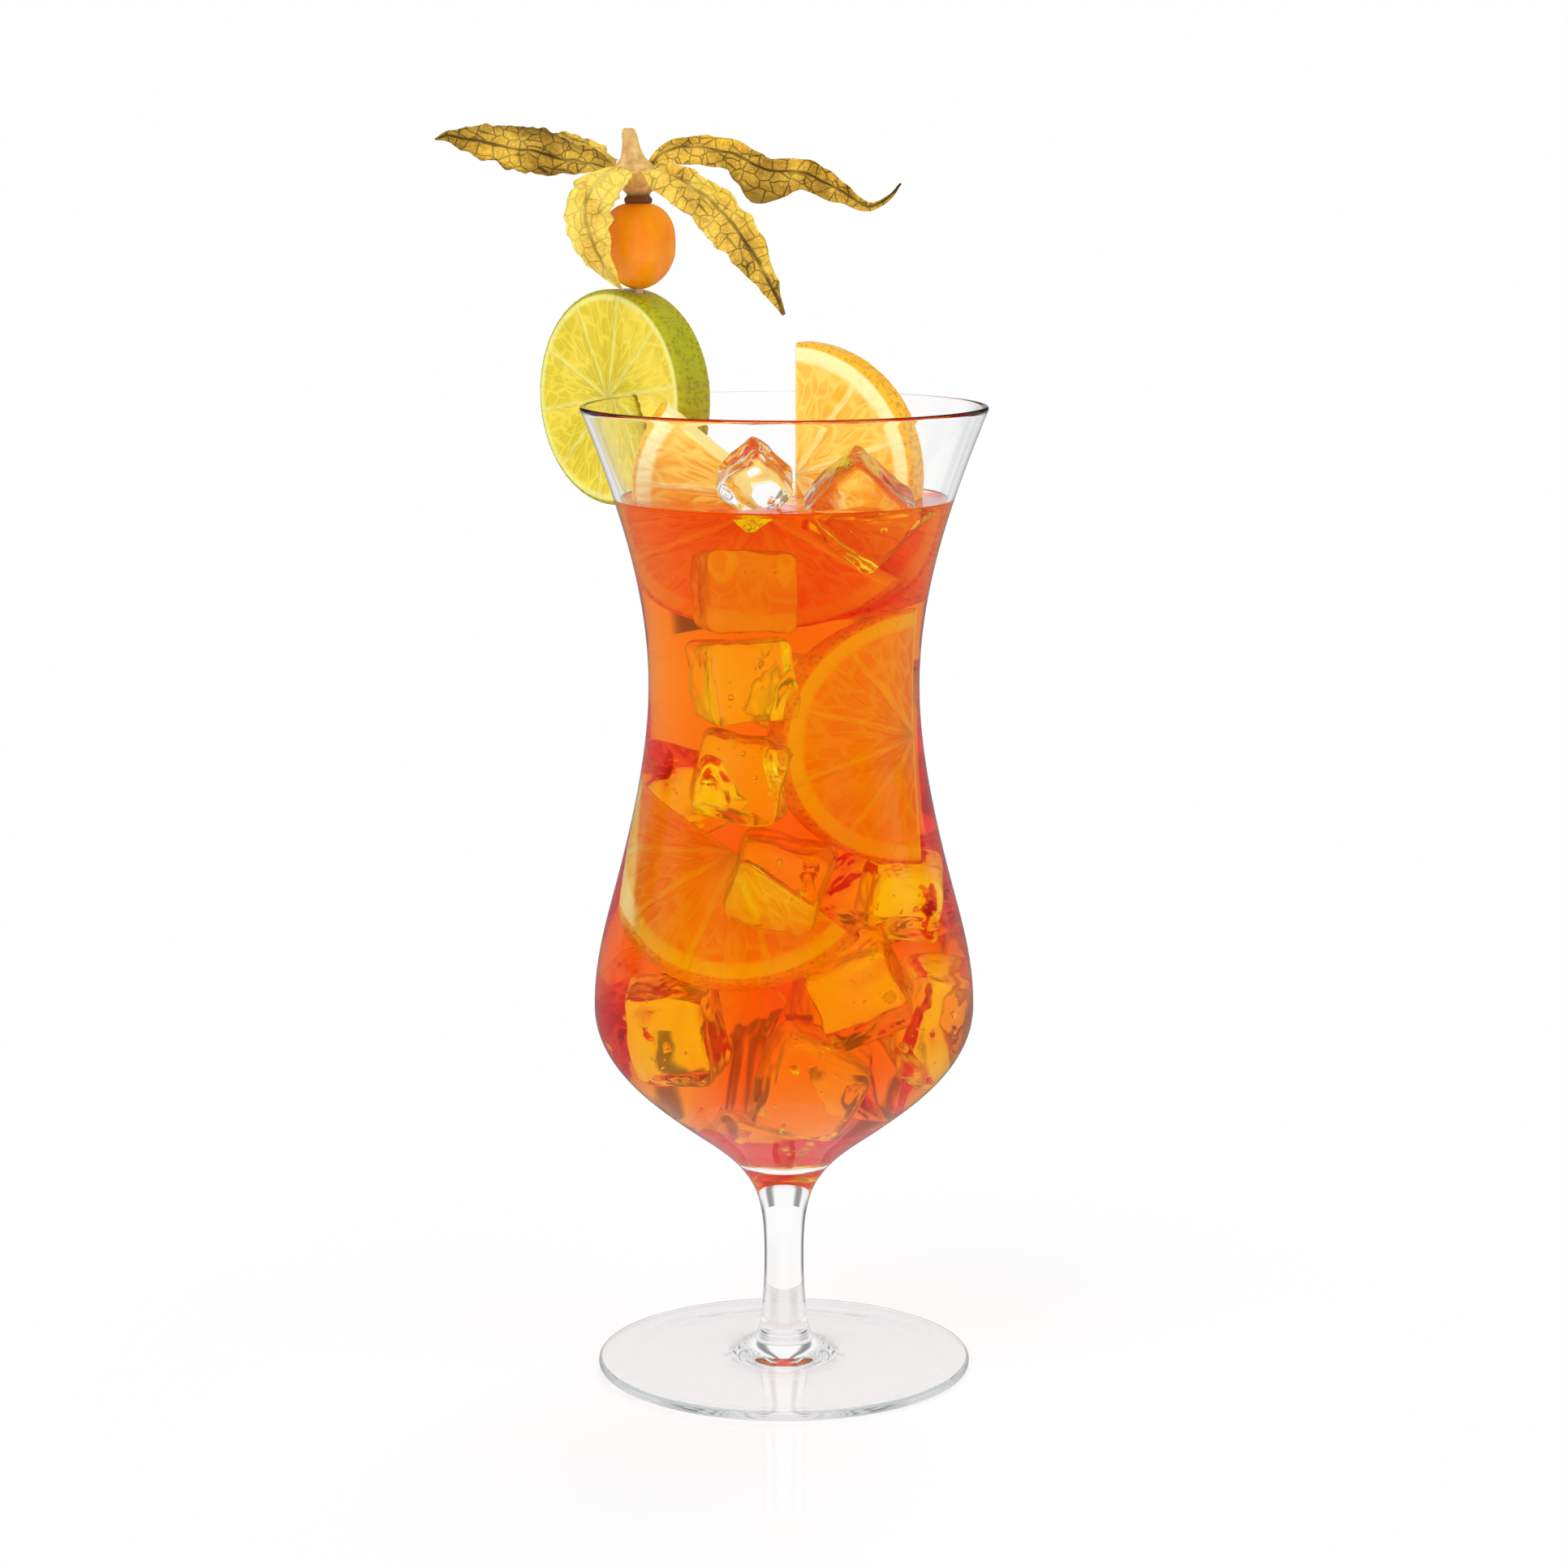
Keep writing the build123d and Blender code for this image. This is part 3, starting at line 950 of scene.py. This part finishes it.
def crown_material():
    """Brown, ribbed calyx base and stalk, darker toward the bottom, where the berry hangs."""
    shade = Shader("dry_crown")
    grain = shade.noise(shade.place(), 400.0, 4.0)
    dry = shade.ramp(grain, (0.3, (0.50, 0.26, 0.07, 1)), (0.7, (0.86, 0.58, 0.22, 1)))
    # Darker toward the bottom of the crown, where it meets the berry
    dark_base = shade.span(shade.value_of("rise"), 0.06, 0.16, 1.0, 0.0)
    shade.principled(
        Base_Color=shade.mix(dark_base, dry, (0.16, 0.055, 0.015, 1)),
        Roughness=0.6,
        Normal=shade.bump(grain, distance=0.6 * MM, strength=0.7),
    )
    return shade.material


def make_crown():
    """Five-lobed cap with a dry, slightly crooked stalk."""
    low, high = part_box("physalis_crown")
    middle = (low + high) / 2
    width = (high.x - low.x) / 2
    rise = high.z - low.z
    around = 80
    section = resampled([(r * width, low.z + h * rise) for r, h in CROWN_SECTION], CROWN_STEP)
    points = []
    for radius, height in section[1:-1]:
        share = (height - low.z) / rise
        lobes = 0.3 * max(0.0, 1 - abs(share - 0.36) / 0.3)
        bend = 2.2 * MM * max(0.0, share - 0.1)
        for i in range(around):
            turn = TURN * i / around
            lobe = lobes * (0.5 - 0.5 * math.cos(5 * turn))
            rib = 0.07 * abs(math.sin(7.5 * turn + 3 * share))
            reach = radius * (1 - lobe - rib)
            points.append((
                middle.x + reach * math.cos(turn) - bend,
                middle.y + reach * math.sin(turn),
                height,
            ))
    rows = len(section) - 2
    faces = []
    for row in range(rows - 1):
        for i in range(around):
            j = (i + 1) % around
            a, b = row * around, (row + 1) * around
            faces.append((a + i, a + j, b + j, b + i))
    faces.append(tuple(reversed(range(around))))
    faces.append(tuple(range((rows - 1) * around, rows * around)))
    mesh = mesh_from("physalis_crown_look", points, faces)
    add_value(mesh, "rise", (get_points(mesh)[:, 2] - low.z) / rise)
    made = new_object("physalis_crown_look", mesh)
    dress(made, "physalis", crown_material(), "dry_husk", "physalis_crown")


def curve_through(points, count):
    """Even smooth run of places through points in space."""
    points = np.array(points, dtype=float)
    return resampled(points, run_along(points)[-1] / (count - 0.5))[:count]


def make_leaf(node, midrib, front, back, facing, arch, curl, browning_and_painted_glow, seed, material):
    """Crinkled, ragged sheet along a midrib given from the crown's base, in millimetres.

    front and back are the widths on either side of the midrib, facing the ways that the blade
    looks, arch how far its edges drop, curl how far its back edge rolls over, and age how brown
    it is: partly real browning and partly painted light, as a lower value paints the blade a
    paler gold that stands in for light shining through it.
    """
    low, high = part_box("physalis_crown")
    crown = np.array(((low.x + high.x) / 2, (low.y + high.y) / 2, low.z))
    spine = crown + curve_through(midrib, LEAF_ROWS) * MM
    rows = len(spine)
    shares = np.linspace(0, 1, rows)
    length = np.linalg.norm(np.diff(spine, axis=0), axis=1).sum()

    def spread(values):
        """Values at even places along the blade, filled in for every row."""
        values = np.array(values, dtype=float)
        steps = np.linspace(0, 1, len(values))
        columns = np.atleast_2d(values.T)
        return np.array([np.interp(shares, steps, column) for column in columns]).T

    near, far, looks = spread(front)[:, 0] * MM, spread(back)[:, 0] * MM, spread(facing)
    headings = np.gradient(spine, axis=0)
    points = []
    blade = []
    for row, share in enumerate(shares):
        heading = Vector(headings[row]).normalized()
        side = heading.cross(Vector(looks[row])).normalized()
        up = side.cross(heading)
        for column in range(LEAF_COLUMNS):
            u = 2 * column / (LEAF_COLUMNS - 1) - 1
            half = far[row] if u < 0 else near[row]
            spot = Vector((u * 1.2, share * 5.0, seed * 7.3))
            torn = Vector((math.copysign(2.0, u), share * 14, seed * 3.1))
            ragged = 1 + (0.22 * noise.noise(torn) + 0.07 * noise.noise(torn * 2.3)) * abs(u)
            ripple = noise.noise(Vector((share * 8, math.copysign(4, u), seed)))
            lift = -arch * half * u * u + 0.35 * half * ripple * abs(u) ** 3
            if u < -0.5:
                roll = (abs(u) - 0.5) * 2
                ragged -= 0.35 * curl * roll
                lift += curl * half * roll
            crumple = 1.1 * noise.noise(spot * 1.3) + 0.4 * noise.noise(spot * 4.0)
            lift += crumple * MM * min(1, 6 * share)
            points.append(Vector(spine[row]) + side * (u * half * ragged) + up * lift)
            blade.append((u * half / (6 * MM), share * length / (12 * MM)))
    sheets = []
    for row in range(rows - 1):
        for column in range(LEAF_COLUMNS - 1):
            a = row * LEAF_COLUMNS + column
            b = a + LEAF_COLUMNS
            sheets.append((a, a + 1, b + 1, b))
    mesh = mesh_from(node + "_look", points, sheets)
    add_uv(mesh, "blade", np.array(blade))
    add_value(mesh, "browning_and_painted_glow", np.full(len(points), browning_and_painted_glow))
    made = new_object(node + "_look", mesh)
    solid = made.modifiers.new("paper", "SOLIDIFY")
    solid.thickness = PAPER
    solid.offset = 0.0
    made.data = baked(made)
    made.modifiers.clear()
    made.data.shade_smooth()
    dress(made, "physalis", material, "dry_husk", node)


def wood_material():
    """Pale split wood with its grain upright."""
    shade = Shader("pick_wood")
    stretch = shade.add("ShaderNodeMapping")
    shade.set(stretch, Vector=shade.place(), Scale=(1, 1, 0.08))
    grain = shade.noise(stretch.outputs[0], 2500.0, 4.0)
    shade.principled(
        Base_Color=shade.ramp(grain, (0.3, (0.55, 0.38, 0.18, 1)), (0.7, (0.80, 0.64, 0.40, 1))),
        Roughness=0.65,
        Normal=shade.bump(grain, distance=0.1 * MM, strength=0.5),
    )
    return shade.material


def make_pick():
    """Short wooden stick in the shape of the CAD pick."""
    made = new_object("garnish_pick_look", nodes["garnish_pick"].data.copy())
    dress(made, "lime", wood_material(), "pick_wood", "garnish_pick")


# Studio

def make_camera():
    """Camera at the photo's place: level turn, tilted down, on the glass's axis."""
    lens = bpy.data.cameras.new("camera")
    lens.sensor_width = SENSOR_MM
    lens.lens = SENSOR_MM * FOCAL_PIXELS / PHOTO_PIXELS
    camera = bpy.data.objects.new("camera", lens)
    camera.location = CAMERA_PLACE
    camera.rotation_euler = (CAMERA_TILT, 0, 0)
    bpy.context.scene.collection.objects.link(camera)
    bpy.context.scene.camera = camera


def make_world():
    """White studio; soft dark flags round it give clear glass and ice something to bend."""
    world = bpy.data.worlds.new("studio")
    sky = Nodes(world, "ShaderNodeOutputWorld")
    path = sky.add("ShaderNodeLightPath").outputs
    heading = sky.parts(sky.add("ShaderNodeTexCoord").outputs["Generated"])
    turn = sky.math("ARCTAN2", heading[1], heading[0])
    flags = sky.math("COSINE", sky.math("MULTIPLY", turn, 8.0))
    narrow = sky.span(flags, -0.98, -0.2, 0.3, 1.0)
    wide = sky.span(flags, 0.0, 0.6, 0.05, 0.45)
    clear = sky.math("LESS_THAN", path["Diffuse Depth"], 0.5)
    seen = sky.math("MULTIPLY", path["Is Transmission Ray"], clear)
    inside = sky.math("SUBTRACT", path["Is Transmission Ray"], seen)
    strength = sky.math("ADD", path["Is Camera Ray"], inside)
    strength = sky.math("MULTIPLY_ADD", seen, narrow, strength)
    strength = sky.math("MULTIPLY_ADD", sky.mirrored(path), wide, strength)
    strength = sky.math("MULTIPLY_ADD", path["Is Diffuse Ray"], 0.5, strength)
    sky.surface(sky.set(sky.add("ShaderNodeBackground"), Color=WHITE, Strength=strength))
    bpy.context.scene.world = world


def make_floor():
    """Glossy white table that fades into the background away from the glass."""
    far = FLOOR_REACH
    corners = [(-far, -far, 0), (far, -far, 0), (far, far, 0), (-far, far, 0)]
    mesh = mesh_from("floor", corners, [(0, 1, 2, 3)])
    floor = new_object("floor", mesh)
    floor.location.z = -FLOOR_DROP
    shade = Shader("white_table")
    table = shade.principled(
        Base_Color=(0.96, 0.96, 0.96, 1), Roughness=0.04, Specular_IOR_Level=0.5
    )
    shine = shade.mirrored(shade.add("ShaderNodeLightPath").outputs)
    white = shade.add("ShaderNodeEmission")
    shade.set(white, Color=WHITE, Strength=shade.span(shine, 0.0, 1.0, 1.0, 0.25))
    away = shade.add("ShaderNodeVectorMath", operation="LENGTH")
    shade.feed(away, shade.place())
    shade.blend(shade.span(away.outputs["Value"], 0.04, 0.16, 0.6, 1.0), table, white)
    mesh.materials.append(shade.material)


def make_lamp(name, place, watts):
    """Soft square lamp aimed at the glass, hidden from reflections and refractions."""
    lamp = bpy.data.lights.new(name, "AREA")
    lamp.size = LAMP_SIZE
    lamp.energy = watts
    made = bpy.data.objects.new(name, lamp)
    made.location = place
    made.visible_transmission = False
    made.visible_glossy = False
    aim = LAMP_AIM - Vector(place)
    made.rotation_euler = aim.to_track_quat("-Z", "Y").to_euler()
    bpy.context.scene.collection.objects.link(made)


def make_studio():
    """Camera, light and table."""
    make_camera()
    make_world()
    make_floor()
    for name, place, watts in LAMPS:
        make_lamp(name, place, watts)
    bpy.context.scene.view_settings.view_transform = "Standard"
    cycles = bpy.context.scene.cycles
    cycles.max_bounces = LIGHT_BOUNCES
    cycles.transmission_bounces = LIGHT_BOUNCES
    cycles.glossy_bounces = LIGHT_BOUNCES
    cycles.transparent_max_bounces = 24
    cycles.blur_glossy = 0.0


make_studio()
make_glass()

bodies = frame["record"]["behaviour"]["bodies"]
body_of_node = {node: body for body, names in bodies.items() for node in names}
ice_look = ice_material()
sunk_skins = []
float_skins = []
for number, node in enumerate(sorted(n for n in nodes if n.startswith("ice_"))):
    skin = make_ice(node, body_of_node[node], ice_look, number)
    if node.startswith("ice_float"):
        float_skins.append(skin)
    else:
        sunk_skins.append(skin)
make_drink(sunk_skins, float_skins)

orange_look = fruit_material(
    "orange_flesh",
    rind=(0.95, 0.50, 0.02, 1),
    pith=(0.98, 0.90, 0.46, 1),
    pulp=(0.96, 0.70, 0.14, 1),
    deep=(0.95, 0.50, 0.03, 1),
    rind_share=0.965,
    pith_share=0.86,
)
lime_look = fruit_material(
    "lime_flesh",
    rind=(0.42, 0.42, 0.01, 1),
    pith=(0.82, 0.78, 0.22, 1),
    pulp=(0.88, 0.71, 0.07, 1),
    deep=(0.70, 0.56, 0.02, 1),
    rind_share=0.955,
    pith_share=0.91,
)
for node in sorted(n for n in nodes if n.startswith("orange_slice")):
    make_slice(node, body_of_node[node], orange_look, "orange_flesh", ORANGE_RADIUS)
make_slice("lime_wheel", "lime", lime_look, "lime_flesh", LIME_RADIUS)
make_pick()
make_berry()
make_crown()
husk_look = husk_material()
for node, shape in LEAVES.items():
    make_leaf(node, material=husk_look, **shape)
